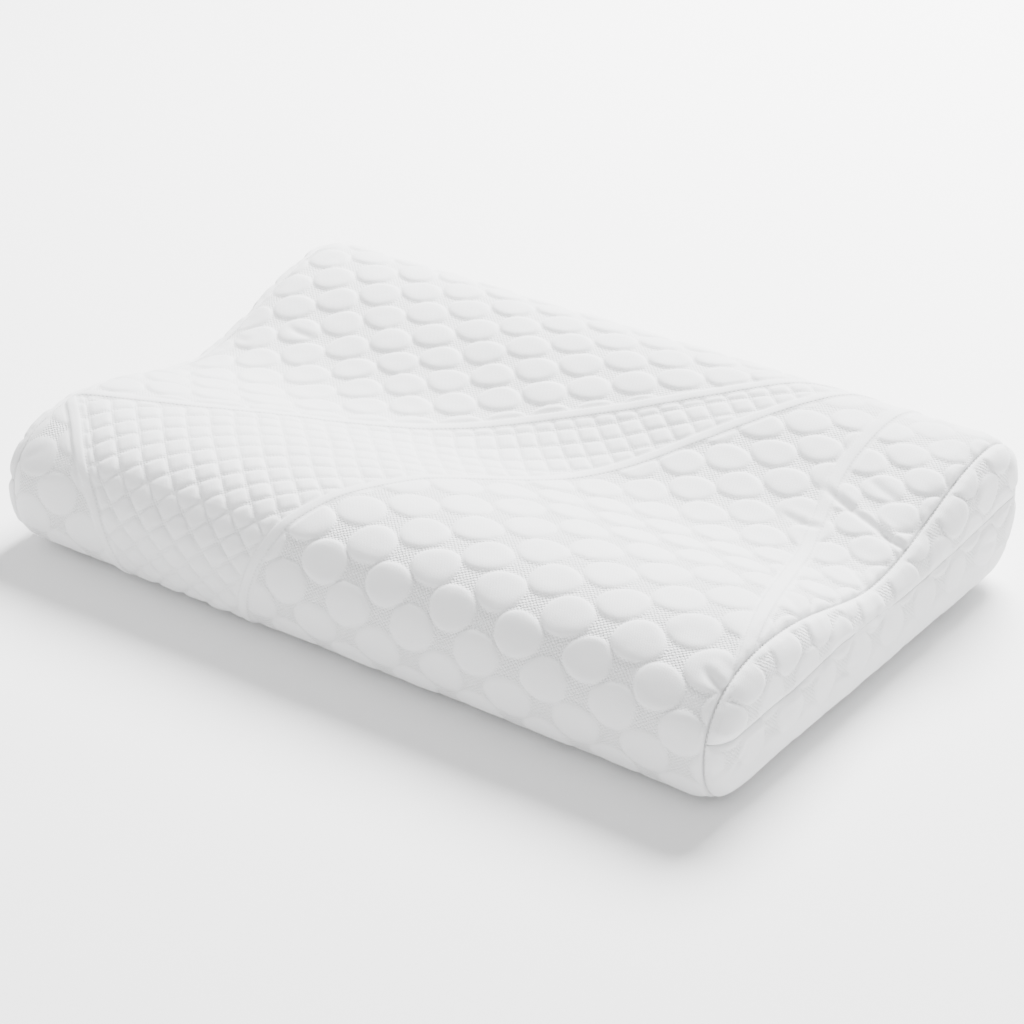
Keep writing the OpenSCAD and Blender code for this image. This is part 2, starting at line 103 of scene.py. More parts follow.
def section_tables():
    pts, nrm, marks = [], [], []
    count = 240
    for i, (p, _, after) in enumerate(KNOTS):
        q, q_before, _ = KNOTS[(i + 1) % len(KNOTS)]
        a = np.array(p, float)
        d = np.array(q, float)
        b = a + np.array(after, float)
        c = d + np.array(q_before, float)
        t = np.linspace(0, 1, count, endpoint=False)[:, None]
        s = 1 - t
        pts.append(s**3 * a + 3 * s * s * t * b + 3 * s * t * t * c + t**3 * d)
        slope = s * s * (b - a) + 2 * s * t * (c - b) + t * t * (d - c)
        out = np.stack([-slope[:, 1], slope[:, 0]], 1)
        nrm.append(out / np.linalg.norm(out, axis=1)[:, None])
        marks.append(i * count)
    pts = np.concatenate(pts + [pts[0][:1]])
    nrm = np.concatenate(nrm + [nrm[0][:1]])
    arc = np.concatenate([[0], np.cumsum(np.linalg.norm(np.diff(pts, axis=0), axis=1))])
    return pts, nrm, arc, [arc[m] for m in marks]


SEC_P, SEC_N, SEC_S, KNOT_S = section_tables()
S_ZIP, S_FOOT_B, S_END = KNOT_S[5], KNOT_S[6], SEC_S[-1]


def section(s):
    """Point and outward direction of the section at a distance round it."""
    s = np.mod(s, S_END)
    p = np.stack([np.interp(s, SEC_S, SEC_P[:, i]) for i in (0, 1)], -1)
    n = np.stack([np.interp(s, SEC_S, SEC_N[:, i]) for i in (0, 1)], -1)
    return p, n / np.linalg.norm(n, axis=-1, keepdims=True)


def surface(w, s, depth):
    """Point of the pillow, w along it and s round it, sunk by depth; w counts round the end."""
    w, s, depth = np.broadcast_arrays(w, s, depth)
    k = np.clip((np.abs(w) - STRAIGHT) / END_ROUND, 0, math.pi / 2)
    side = np.sign(w)
    p, n = section(s)
    inset = END_INSET - (END_INSET - depth) * np.cos(k)
    x = np.minimum(np.abs(w), STRAIGHT) + (END_ROUND - depth) * np.sin(k)
    return np.stack([side * x, p[..., 0] - inset * n[..., 0], p[..., 1] - inset * n[..., 1]], -1)


def smooth(a, b, x):
    t = np.clip((x - a) / (b - a), 0, 1)
    return t * t * (3 - 2 * t)


def roll(e):
    """How far a panel turns in at a distance from its sewn edge."""
    t = np.clip(1 - e / ROLL_WIDTH, 0, 1)
    return ROLL_DEPTH * (1 - np.sqrt(np.clip(1 - t * t, 0, 1)))


def wave(x, y, seed, size, octaves=3):
    """Smooth, seeded unevenness between about -1 and 1."""
    rng = np.random.default_rng(seed)
    total = np.zeros(np.shape(x))
    for octave in range(octaves):
        for _ in range(4):
            turn = rng.uniform(0, 2 * math.pi)
            freq = 2 * math.pi / size * 1.7**octave * rng.uniform(0.7, 1.3)
            across = x * math.cos(turn) + y * math.sin(turn)
            total += np.sin(across * freq + rng.uniform(0, 6.3)) / 1.8**octave
    return total / 4


# ---- Quilt pattern of the long panels: x along the pillow, s from the front foot ----

# Centre lines of the four plain ribbons, as (x, s)
LOWER = [(-92, -60), (-70, 62), (-34, 155), (15, 245), (92, 342), (160, 432), (215, 520)]
UPPER = [(-306, 152), (-200, 200), (-115, 266), (0, 342), (100, 412), (205, 520)]
LEFT = [(-306, 178), (-250, 128), (-198, 60), (-180, -60)]
RIGHT = [(296, 118), (262, 210), (220, 345), (214, 410), (222, 520)]


def fine_line(points):
    """The smooth curve through some points, at short steps, with its running length."""
    p = np.array(points, float)
    tangent = np.gradient(p, axis=0)
    line = []
    for a, b, ta, tb in zip(p[:-1], p[1:], tangent[:-1], tangent[1:]):
        t = np.linspace(0, 1, 16, endpoint=False)[:, None]
        line.append((2 * t**3 - 3 * t**2 + 1) * a + (t**3 - 2 * t**2 + t) * ta
                    + (3 * t**2 - 2 * t**3) * b + (t**3 - t**2) * tb)
    line = np.concatenate(line + [p[-1:]])
    run = np.concatenate([[0], np.cumsum(np.linalg.norm(np.diff(line, axis=0), axis=1))])
    return line, run


def line_distance(x, s, line, run):
    """Distance to a line, with its sign, and the place along it."""
    flat = np.stack([x.ravel(), s.ravel()], -1)
    best = np.full(len(flat), 1e9)
    signed = np.zeros(len(flat))
    along = np.zeros(len(flat))
    for a, b, r in zip(line[:-1], line[1:], run[:-1]):
        d = b - a
        length = np.linalg.norm(d)
        rel = flat - a
        t = np.clip(rel @ d / length**2, 0, 1)
        off = rel - t[:, None] * d
        dist = np.linalg.norm(off, axis=1)
        near = dist < best
        best[near] = dist[near]
        signed[near] = dist[near] * np.sign(d[0] * rel[near, 1] - d[1] * rel[near, 0])
        along[near] = r + t[near] * length
    return signed.reshape(x.shape), along.reshape(x.shape)


def cell(p, q):
    """Offset from the nearest point of a chequer lattice, and that point's two numbers."""
    i, j = np.round(p), np.round(q)
    dp, dq = p - i, q - j
    odd = np.mod(i + j, 2) > 0.5
    side = odd & (np.abs(dp) > np.abs(dq))
    level = odd & ~side
    i = np.where(side, i + np.where(dp > 0, 1, -1), i)
    j = np.where(level, j + np.where(dq > 0, 1, -1), j)
    return p - i, q - j, i, j


def unlike(i, j, seed):
    """A number from 0 to 1 that differs from pad to pad."""
    v = np.sin(i * 12.9898 + j * 78.233 + seed * 37.719) * 43758.5453
    return v - np.floor(v)


def round_pads(p, q, height=PAD_H):
    """Height of the round pads over the open knit, and 1 where the open knit shows."""
    p = p + 0.035 * wave(p, q, 5, 5.0)
    q = q + 0.035 * wave(p, q, 6, 5.0)
    dp, dq, i, j = cell(p, q)
    angle = np.arctan2(dq, dp)
    edge = 0.690 * (1 + 0.030 * np.cos(3 * angle + 6.3 * unlike(i, j, 1)))
    r = np.hypot(dp, dq) / edge
    dome = np.clip(1 - r**6, 0, 1) ** 0.6 - 0.16 * np.exp(-((r - 1.05) / 0.06) ** 2)
    tall = 0.88 + 0.24 * unlike(i, j, 2)
    lean = 1 + 0.10 * dp * (unlike(i, j, 3) - 0.5) - 0.10 * dq * (unlike(i, j, 4) - 0.5)
    return height * dome * tall * lean, smooth(0.94, 1.05, r)


def diamond_pads(p, q, height=DIAMOND_H):
    p = p + 0.05 * wave(p, q, 8, 7.0)
    q = q + 0.05 * wave(p, q, 9, 7.0)
    dp, dq, i, j = cell(p, q)
    r = np.abs(dp) + np.abs(dq)
    r = (np.clip(r, 0, 1) ** 5 + (1.12 * np.hypot(dp, dq)) ** 5) ** (1 / 5)
    dome = np.clip(1 - np.clip(r, 0, 1) ** 3.0, 0, 1) ** 0.7
    return height * dome * (0.85 + 0.3 * unlike(i, j, 7)), smooth(0.9, 1.0, r) * 0.5


def blend_front_back(x, s):
    """Lattice right of the lower ribbon: wide rows over the front, closer ones towards the back."""
    front_p, front_q = (x + 10.6) / 25.7, (s - 146.5) / 22.8
    dx, ds = x - 164, s - 371
    det = 24.25 * 17.5 + 2.0 * 2.75
    back_p = (17.5 * dx - 2.75 * ds) / det + 6
    back_q = (2.0 * dx + 24.25 * ds) / det + 12
    t = smooth(200, 300, s)
    return front_p + t * (back_p - front_p), front_q + t * (back_q - front_q), front_p, front_q


def quilt(x, s):
    """Height of the quilting, where open knit shows, and the place along and across a ribbon."""
    low_d, low_r = line_distance(x, s, *fine_line(LOWER))
    up_d, up_r = line_distance(x, s, *fine_line(UPPER))
    left_d, left_r = line_distance(x, s, *fine_line(LEFT))
    right_d, right_r = line_distance(x, s, *fine_line(RIGHT))
    # A ribbon's sign is positive on the left of its direction of travel
    behind = up_d > 0
    inner = ~behind & (low_d > 0) & (left_d > 0)
    outer_left = ~behind & (left_d <= 0) & (x < -120)
    far_right = (right_d < 0) & ~behind

    b_p, b_q, front_p, front_q = blend_front_back(x, s)
    t = smooth(170, 300, s)
    c_p, c_q = (x - 226) / 22 + 9, (s - 387.5) / 17 + 13
    rows = 19.5 - 2.2 * smooth(-220, -130, x)
    a_q = (s - 365.5 + 0.026 * (x + 205)) / rows
    a_p = (x + 205 - 4 * a_q) / 23.4
    p = np.where(far_right, front_p + t * (c_p - front_p), b_p)
    q = np.where(far_right, front_q + t * (c_q - front_q), b_q)
    p = np.where(behind, a_p, np.where(outer_left, front_p, p))
    q = np.where(behind, a_q, np.where(outer_left, front_q, q))
    h_round, gap = round_pads(p, q)
    # The quilting flattens at the left end, down the front and over the right of the back crest.
    # The open knit's bump and painted shade are strongest over the front crest and weakest behind the upper
    # ribbon, following how the light falls
    back_right = smooth(400, 432, s) * smooth(110, 160, x)
    h_round = np.where(outer_left, 0.45, 1.0) * h_round * (0.5 + 0.5 * smooth(-288, -258, x))
    h_round = h_round * (0.3 + 0.7 * smooth(10, 85, s)) * (1 - 0.6 * back_right)
    gap = gap * np.where(behind, 0.45, 1.15 - 0.35 * smooth(220, 330, s))
    d_rows = 12.0 - 2.6 * smooth(-230, 60, x)
    h_diamond, groove = diamond_pads((x + 73) / 12.0, (s - 121) / d_rows)
    h = np.where(inner, h_diamond, h_round)
    gap = np.where(inner, groove, gap)

    # Pads run down to the ribbons; the ribbons stand up between their two stitched edges
    dist = np.full(x.shape, 1e9)
    across = np.full(x.shape, 99.0)
    along = np.zeros(x.shape)
    for d, r in ((low_d, low_r), (up_d, up_r), (np.where(s < 165, left_d, 99.0), left_r),
                 (right_d * RIGHT_THIN, right_r)):
        closer = np.abs(d) < dist
        dist = np.where(closer, np.abs(d), dist)
        across = np.where(closer, d, across)
        along = np.where(closer, r, along)
    h = h * (RIBBON_DIP + (1 - RIBBON_DIP) * smooth(RIBBON_HALF + 0.3, RIBBON_HALF + 3.4, dist))
    gap = gap * smooth(RIBBON_HALF + 0.3, RIBBON_HALF + 2.0, dist)
    t = np.clip(dist / RIBBON_HALF, 0, 1)
    h = np.maximum(h, RIBBON_H * np.clip(1 - t**4, 0, 1) ** 0.7)
    return h, gap, along, np.clip(across, -20, 20)


def creases(x, s):
    """Pulled folds in the cloth: a soft valley with a raised lip, and how near a fold each place is."""
    h, near = np.zeros(np.shape(x)), np.zeros(np.shape(x))
    for ax, a_s, bx, b_s, deep, wide in (
        (204, 359, 287, 331, 2.0, 2.7), (194, 326, 230, 322, 1.2, 2.6), (264, 338, 290, 334, 1.7, 2.3),
        (232, 376, 266, 364, 0.8, 3.0), (262, 302, 289, 288, 1.1, 2.6), (268, 122, 290, 115, 1.7, 3.0),
        (262, 222, 289, 206, 0.6, 3.0), (-242, 347, -216, 345, 0.9, 2.6), (-285, 262, -258, 276, 0.7, 3.0),
        (-287, 330, -262, 322, 0.6, 3.0), (-288, 92, -268, 104, 0.6, 3.0),
    ):
        d = np.array([bx - ax, b_s - a_s], float)
        length = np.linalg.norm(d)
        u = ((x - ax) * d[0] + (s - a_s) * d[1]) / length
        v = (-(x - ax) * d[1] + (s - a_s) * d[0]) / length + 1.6 * np.sin(u / length * 3.1)
        ends = smooth(-4, length * 0.35, u) * (1 - smooth(length * 0.75, length + 6, u))
        lip = 0.45 * deep * np.exp(-((v - 2.1 * wide) / (1.3 * wide)) ** 2)
        h += ends * (-deep * np.exp(-(v / wide) ** 2) + lip)
        near = np.maximum(near, ends * min(deep / 1.5, 1) * np.exp(-(v / (1.8 * wide)) ** 2))
    return h, near


def seam_pucker(run, e, seed):
    """Short gathers at right angles to a seam, which die away from it."""
    beat = wave(run, run * 0.3, seed, 15.0, 2)
    return 0.55 * beat * np.exp(-np.clip(e, 0, None) / 7.0) * smooth(0, 1.5, e)


# ---- Cross seam of the end panels ----

def cross_z(y):
    """Height of the seam across an end, from the front rim seam to the back one."""
    ys = [-200, -150, -90, -60, -25, 8.5, 50, 110, 160, 200]
    zs = [53.2, 53.6, 55, 58.5, 59, 56, 56, 60, 63.3, 64]
    fine = np.linspace(-200, 200, 401)
    vals = np.interp(fine, ys, zs)
    pad = np.pad(vals, 12, mode="edge")
    return np.interp(y, fine, np.convolve(pad, np.ones(25) / 25, mode="valid"))


# ---- Cloth ----

def swell():
    """Cloth simulation of the whole cover, pinned at its seams and base: points and how each moved."""
    ws = np.concatenate([
        -(STRAIGHT + END_ROUND * np.linspace(1.5, 0, 6)),
        np.linspace(-STRAIGHT, STRAIGHT, 90)[1:-1],
        STRAIGHT + END_ROUND * np.linspace(0, 1.5, 6),
    ])
    ss = np.linspace(0, S_END, 140, endpoint=False)
    grid = surface(ws[:, None], ss[None, :], COVER_START)
    m, n = grid.shape[:2]
    faces = [(i * n + j, i * n + (j + 1) % n, (i + 1) * n + (j + 1) % n, (i + 1) * n + j)
             for i in range(m - 1) for j in range(n)]
    faces += [tuple(range(n))[::-1], tuple((m - 1) * n + j for j in range(n))]
    mesh = bpy.data.meshes.new("cloth_start")
    mesh.from_pydata((grid.reshape(-1, 3) * MM).tolist(), [], faces)
    mesh.validate()
    obj = bpy.data.objects.new("cloth_start", mesh)
    bpy.context.scene.collection.objects.link(obj)
    bpy.context.view_layer.objects.active = obj
    obj.select_set(True)
    remesh = obj.modifiers.new("remesh", "REMESH")
    remesh.mode = "VOXEL"
    remesh.voxel_size = CLOTH_VOXEL * MM
    bpy.ops.object.modifier_apply(modifier=remesh.name)
    count = len(obj.data.vertices)
    start = np.zeros(count * 3, np.float32)
    obj.data.vertices.foreach_get("co", start)
    start = start.reshape(-1, 3).astype(float)
    out = np.zeros(count * 3, np.float32)
    obj.data.vertices.foreach_get("normal", out)
    out = out.reshape(-1, 3).astype(float)

    seams = []
    run = np.arange(0, S_END, 3.0)
    for side in (-1, 1):
        seams.append(surface(np.full(run.shape, side * RIM_W), run, COVER_START))
        y = np.arange(-178, 178, 3.0)
        seams.append(np.stack([np.full(y.shape, side * 298.0), y, cross_z(y)], -1))
    w = np.arange(-285, 285, 3.0)
    for place in (0.0, S_ZIP):
        seams.append(surface(w, np.full(w.shape, place), COVER_START))
    seams = np.concatenate(seams) * MM
    tree = kdtree.KDTree(len(seams))
    for i, p in enumerate(seams):
        tree.insert(p, i)
    tree.balance()
    reach = PIN_REACH * MM
    pins = [i for i, p in enumerate(start) if p[2] < reach or tree.find(p)[2] < reach]
    group = obj.vertex_groups.new(name="pins")
    group.add(pins, 1.0, "REPLACE")

    cloth = obj.modifiers.new("cloth", "CLOTH")
    cloth.settings.quality = 6
    cloth.settings.mass = 0.25
    cloth.settings.tension_stiffness = 12
    cloth.settings.compression_stiffness = 12
    cloth.settings.shear_stiffness = 6
    cloth.settings.bending_stiffness = 0.6
    cloth.settings.use_pressure = True
    cloth.settings.uniform_pressure_force = 4
    cloth.settings.shrink_min = -0.022
    cloth.settings.vertex_group_mass = "pins"
    cloth.settings.effector_weights.gravity = 0
    scene = bpy.context.scene
    for f in range(1, CLOTH_FRAMES + 1):
        scene.frame_set(f)
    bpy.ops.object.modifier_apply(modifier=cloth.name)
    scene.frame_set(1)
    end = np.zeros(count * 3, np.float32)
    obj.data.vertices.foreach_get("co", end)
    move = (end.reshape(-1, 3) - start) / MM
    # The foam under the cloth holds it up, and the cap holds it down
    rise = (move * out).sum(1)
    slip = move - rise[:, None] * out
    slip *= CLOTH_SLIP / np.maximum(np.linalg.norm(slip, axis=1, keepdims=True), CLOTH_SLIP)
    capped = CLOTH_CAP * np.tanh(np.clip(rise, CLOTH_SINK, None) / CLOTH_CAP)
    move = slip + capped[:, None] * out
    edges = np.zeros(len(obj.data.edges) * 2, np.int32)
    obj.data.edges.foreach_get("vertices", edges)
    edges = edges.reshape(-1, 2)
    degree = np.bincount(edges.ravel(), minlength=count)[:, None]
    for _ in range(3):
        total = np.zeros_like(move)
        np.add.at(total, edges[:, 0], move[edges[:, 1]])
        np.add.at(total, edges[:, 1], move[edges[:, 0]])
        move = 0.5 * move + 0.5 * total / np.maximum(degree, 1)
    mesh = obj.data
    bpy.data.objects.remove(obj)
    bpy.data.meshes.remove(mesh)
    tree = kdtree.KDTree(count)
    for i, p in enumerate(start):
        tree.insert(p, i)
    tree.balance()
    return tree, move


CLOTH = swell()


def swelling(points):
    """How far the cloth has swollen outwards at each point, in millimetres."""
    if CLOTH is None:
        return np.zeros_like(points)
    tree, move = CLOTH
    out = np.zeros_like(points)
    for i, p in enumerate(points * MM):
        found = tree.find_n(p, 4)
        weights = np.array([1 / (f[2] + 0.0015) for f in found])
        out[i] = (move[[f[1] for f in found]] * weights[:, None]).sum(0) / weights.sum()
    return out


def swelling_grid(points):
    """The same for a fine grid, worked out on every fourth row and column."""
    if CLOTH is None:
        return np.zeros_like(points)
    rows = np.unique(np.append(np.arange(0, points.shape[0], 4), points.shape[0] - 1))
    cols = np.unique(np.append(np.arange(0, points.shape[1], 4), points.shape[1] - 1))
    few = points[np.ix_(rows, cols)]
    moved = swelling(few.reshape(-1, 3)).reshape(few.shape)
    part = np.stack([np.stack([np.interp(np.arange(points.shape[0]), rows, moved[:, j, k])
                               for j in range(len(cols))], -1) for k in range(3)], -1)
    return np.stack([np.stack([np.interp(np.arange(points.shape[1]), cols, part[i, :, k])
                               for i in range(points.shape[0])], 0) for k in range(3)], -1)


# ---- Building objects ----

def new_object(name, verts, faces, uv=None, values=None, shade=True):
    mesh = bpy.data.meshes.new(name)
    faces = faces if isinstance(faces, list) else faces.tolist()
    mesh.from_pydata((np.asarray(verts) * MM).tolist(), [], faces)
    if uv is not None:
        layer = mesh.uv_layers.new(name="cloth")
        loops = np.zeros(len(mesh.loops), np.int32)
        mesh.loops.foreach_get("vertex_index", loops)
        layer.data.foreach_set("uv", np.asarray(uv)[loops].astype(np.float32).ravel())
    for key, data in (values or {}).items():
        attribute = mesh.attributes.new(key, "FLOAT", "POINT")
        attribute.data.foreach_set("value", np.asarray(data).astype(np.float32).ravel())
    mesh.polygons.foreach_set("use_smooth", np.broadcast_to(shade, len(mesh.polygons)).copy())
    mesh.update()
    obj = bpy.data.objects.new(name, mesh)
    bpy.context.scene.collection.objects.link(obj)
    return obj


def grid_faces(m, n, flip=False):
    i, j = np.meshgrid(np.arange(m - 1), np.arange(n - 1), indexing="ij")
    a = (i * n + j).ravel()
    quads = np.stack([a, a + 1, a + n + 1, a + n], -1)
    return quads[:, ::-1] if flip else quads


def long_panel(name, ws, s_of, plan):
    """A panel along the pillow. s_of gives its rows at each w, and plan its relief."""
    w = np.concatenate([ws[:1], ws, ws[-1:]])
    s = s_of(w)
    s = np.concatenate([s[:, :1], s, s[:, -1:]], 1)
    w = np.repeat(w[:, None], s.shape[1], 1)
    tuck = np.zeros(s.shape, bool)
    tuck[[0, -1], :] = True
    tuck[:, [0, -1]] = True
    rise, gap, along, across = plan(w, s)
    moved = swelling_grid(surface(w, s, COVER_START))
    depth = np.where(tuck, TUCK_DEPTH, COVER_START + PAD_H - rise)
    points = surface(w, s, depth) + moved
    return new_object(name, points.reshape(-1, 3), grid_faces(*s.shape, flip=True),
                      np.stack([w.ravel(), s.ravel()], -1) * MM,
                      {"gap": gap, "rib_along": along * MM, "rib_across": across * MM})


def end_domain(side, upper):
    """Points of an end panel as (y, z), its boundary loop and its triangles."""
    inset = END_INSET * (1 - math.cos(RIM_ANGLE + SEAM_HALF / END_ROUND))
    run = np.arange(0, S_END, 1.35)
    p, n = section(run)
    keep_side = 1 if upper else -1

    def loop_at(d):
        return p - d * n

    def above(q):
        return keep_side * (q[:, 1] - cross_z(q[:, 0]))

    rim = loop_at(inset)
    ok = above(rim) > CROSS_HALF
    # Walk round the rim from the first point that is on this panel
    first = next(i for i in range(len(ok)) if ok[i] and not ok[i - 1])
    order = [(first + i) % len(ok) for i in range(int(ok.sum()))]
    arc = rim[order]
    y0, y1 = arc[-1][0], arc[0][0]
    steps = max(int(abs(y1 - y0) / 1.35), 8)
    ys = np.linspace(y0, y1, steps + 1)
    # The seam pulls tight towards the back
    seam = np.stack([ys, cross_z(ys) + keep_side * CROSS_HALF * (1 - smooth(-140, -60, ys))], -1)[1:-1]
    border = np.concatenate([arc, seam])
    inner = []
    for d in (inset + 0.5, inset + 1.1, inset + 1.8, inset + 2.6, inset + 3.5, inset + 4.5):
        q = loop_at(d)
        inner.append(q[above(q) > CROSS_HALF + 0.6])
    gy, gz = np.meshgrid(np.arange(-190, 190, 1.4), np.arange(1, 110, 1.4), indexing="ij")
    grid = np.stack([gy.ravel() + 0.7 * (np.round(gz.ravel() / 1.4) % 2), gz.ravel()], -1)
    near = nearest_outline(grid)
    grid = grid[(near[0] > inset + 5.3) & (above(grid) > CROSS_HALF + 0.9)]
    pts = np.concatenate([border] + inner + [grid])
    count = len(border)
    found = geometry.delaunay_2d_cdt([Vector(q) for q in pts], [], [list(range(count))], 1, 1e-5)
    verts = np.array([tuple(v) for v in found[0]])
    tris = [list(f) for f in found[2]]
    if side > 0:
        tris = [f if turn(verts, f) > 0 else f[::-1] for f in tris]
    else:
        tris = [f[::-1] if turn(verts, f) > 0 else f for f in tris]
    edges = {(a, b): True for f in tris for a, b in zip(f, f[1:] + f[:1])}
    open_edges = [(a, b) for a, b in edges if (b, a) not in edges]
    return verts, tris, open_edges


def turn(v, f):
    a, b, c = v[f[0]], v[f[1]], v[f[2]]
    return (b[0] - a[0]) * (c[1] - a[1]) - (b[1] - a[1]) * (c[0] - a[0])


OUTLINE_TREE = kdtree.KDTree(len(SEC_P))
for index, place in enumerate(SEC_P):
    OUTLINE_TREE.insert((place[0], place[1], 0), index)
OUTLINE_TREE.balance()


def nearest_outline(q):
    """Distance inside the section's outline, its outward direction there and the place round it."""
    dist, idx = np.zeros(len(q)), np.zeros(len(q), int)
    for i, v in enumerate(q):
        _, k, d = OUTLINE_TREE.find((v[0], v[1], 0))
        dist[i], idx[i] = d, k
    inside = ((SEC_P[idx] - q) * SEC_N[idx]).sum(1) > 0
    return np.where(inside, dist, -dist), SEC_N[idx], SEC_S[idx]


def end_shape(side, flat):
    """At places (y, z) on an end: inset, place round the rim, bend, outward direction and point."""
    d, n, run = nearest_outline(flat)
    cosk = np.clip(1 - d / END_INSET, 0, 1)
    k = np.arccos(cosk)
    out = np.stack([side * np.sin(k), cosk * n[:, 0], cosk * n[:, 1]], -1)
    base = np.stack([side * (STRAIGHT + END_ROUND * np.sin(k)), flat[:, 0], flat[:, 1]], -1)
    return d, run, k, out, base


def end_quilt(y, z):
    h, gap = round_pads((y + 151.5) / 20.3, (z - 83) / 20, PAD_H * 0.72)
    fade = 0.15 + 0.85 * smooth(20, 50, z)
    return h * fade, gap * smooth(26, 48, z)


def end_panel(name, side, upper):
    flat, tris, open_edges = end_domain(side, upper)
    d, run, k, out, base = end_shape(side, flat)
    y, z = flat[:, 0], flat[:, 1]
    e_rim = np.clip(END_ROUND * (k - RIM_ANGLE), 0, None) + np.clip(d - END_INSET, 0, None)
    e_cross = np.abs(z - cross_z(y))
    e = np.minimum(e_rim, e_cross)
    h, gap = end_quilt(y, z)
    h = h * smooth(1.0, 6.0, e) + 0.35 * wave(y, z, 31 + side, 60) + seam_pucker(run, e_rim, 33 + side)
    h += seam_pucker(y, e_cross, 35 + side)
    h += end_creases(y, z)
    sunk = np.where(e_cross < e_rim, 0.5 - 0.45 * smooth(-130, -30, y), 1.0)
    rise = h + PAD_H * 0.28 - roll(e) * sunk
    depth = COVER_START + PAD_H - rise - END_PROUD
    moved = swelling(base - COVER_START * out)
    points = base - depth[:, None] * out + moved
    count = len(flat)
    border = sorted({v for edge in open_edges for v in edge})
    twin = {v: count + i for i, v in enumerate(border)}
    points = np.concatenate([points, (base - TUCK_DEPTH * out + moved)[border]])
    faces = tris + [[b, a, twin[a], twin[b]] for a, b in open_edges]
    uv = np.stack([y * side, z], -1) * MM
    uv = np.concatenate([uv, uv[border]])
    gap = np.concatenate([gap * smooth(2, 6, e), np.zeros(len(border))])
    far = np.full(len(points), 0.02)
    shade = np.arange(len(faces)) < len(tris)
    return new_object(name, points, faces, uv, {"gap": gap, "rib_along": far, "rib_across": far}, shade)


def end_creases(y, z):
    h = np.zeros(len(y))
    for ay, az, by, bz, deep, wide in ((-176, 30, -158, 44, 1.1, 2.6), (-150, 46, -120, 40, 0.7, 2.8),
                                       (-60, 46, -30, 34, 0.7, 3.2), (120, 50, 150, 42, 0.7, 3.0)):
        d = np.array([by - ay, bz - az], float)
        length = np.linalg.norm(d)
        u = ((y - ay) * d[0] + (z - az) * d[1]) / length
        v = (-(y - ay) * d[1] + (z - az) * d[0]) / length + 1.5 * np.sin(u / length * 3.1)
        ends = smooth(-3, length * 0.4, u) * (1 - smooth(length * 0.6, length + 3, u))
        h += ends * (-deep * np.exp(-(v / wide) ** 2) + 0.5 * deep * np.exp(-((v - 2 * wide) / wide) ** 2))
    return h


def half_slot(w):
    """Half gap between the two long panels at the back, which widens for the zip."""
    return SLIT_HALF + SLOT_WIDER * (1 - smooth(ZIP_HALF - 1, ZIP_HALF + 5, np.abs(w)))


def zip_hem(e_zip):
    """How far a place near the zip belongs to its hem, and the groove of the hem's stitch line."""
    return 1 - smooth(13, 19, e_zip), 0.7 * np.exp(-((e_zip - HEM_STITCH_IN) / 0.9) ** 2)


def top_rows(w):
    v = np.linspace(0, 1, 405)
    s0 = SEAM_HALF
    s1 = S_ZIP - half_slot(w)
    return s0 + v[None, :] * (s1[:, None] - s0)


def top_plan(w, s):
    h, gap, along, across = quilt(w, s)
    e_rim = RIM_W - SEAM_HALF - np.abs(w)
    e_zip = S_ZIP - half_slot(w) - s
    e_front = s - SEAM_HALF
    e = np.minimum(np.minimum(e_rim, e_zip), e_front)
    hem, stitch = zip_hem(e_zip)
    h = h * (1 - 0.75 * hem) * smooth(0.6, 5.0, e)
    fold, near = creases(w, s)
    # A fold pulls the quilting flat along its length
    h += near * 0.75 * (0.45 * PAD_H - h)
    h += fold + 0.45 * wave(w, s, 11, 90) + 0.12 * wave(w, s, 12, 24)
    h += seam_pucker(s, e_rim, 41) + seam_pucker(w, e_zip, 43)
    gap = gap * (1 - hem) * smooth(1, 5, e) * (1 - 0.5 * near)
    return h - stitch - roll(np.clip(e, 0, None)), gap, along, across


def base_rows(w):
    v = np.linspace(0, 1, 270)
    s0 = S_ZIP + half_slot(w)
    s1 = S_END - SEAM_HALF
    return s0[:, None] + v[None, :] * (s1 - s0)[:, None]


def base_plan(w, s):
    h, gap = round_pads((w + 10.6) / 25.7, (s - S_ZIP) / 22.8 + 0.35, PAD_H * 0.8)
    flat = smooth(S_FOOT_B - 20, S_FOOT_B + 12, s) * (1 - smooth(S_END - 12, S_END, s))
    e_rim = RIM_W - SEAM_HALF - np.abs(w)
    e_zip = s - S_ZIP - half_slot(w)
    e_front = S_END - SEAM_HALF - s
    e = np.minimum(np.minimum(e_rim, e_zip), e_front)
    hem, stitch = zip_hem(e_zip)
    h = h * (1 - 0.75 * hem) * smooth(0.6, 5.0, e) * (1 - 0.5 * smooth(S_FOOT_B - 50, S_FOOT_B - 15, s))
    h += (1 - flat) * (0.35 * wave(w, s, 51, 90) + seam_pucker(w, e_zip, 53) + seam_pucker(s, e_rim, 54))
    # The base rests on what it stands on, so its pads come up to the plane and no further
    h = h - stitch - roll(np.clip(e, 0, None)) + flat * (COVER_START + 0.6)
    return h, gap * (1 - hem) * smooth(1, 5, e), np.full(w.shape, 20.0), np.full(w.shape, 20.0)


# ---- Materials ----

def shader(name, color, rough, **sockets):
    mat = bpy.data.materials.new(name)
    mat.use_nodes = True
    bsdf = mat.node_tree.nodes["Principled BSDF"]
    bsdf.inputs["Base Color"].default_value = (*color, 1)
    bsdf.inputs["Roughness"].default_value = rough
    for key, value in sockets.items():
        bsdf.inputs[key.replace("_", " ")].default_value = value
    return mat, mat.node_tree, bsdf


def add(tree, kind, **settings):
    node = tree.nodes.new(kind)
    for key, value in settings.items():
        setattr(node, key, value)
    return node


def math_node(tree, operation, a, b=None, clamp=False):
    node = add(tree, "ShaderNodeMath", operation=operation, use_clamp=clamp)
    for i, value in enumerate((a, b)):
        if value is None:
            continue
        if isinstance(value, (int, float)):
            node.inputs[i].default_value = value
        else:
            tree.links.new(value, node.inputs[i])
    return node.outputs[0]


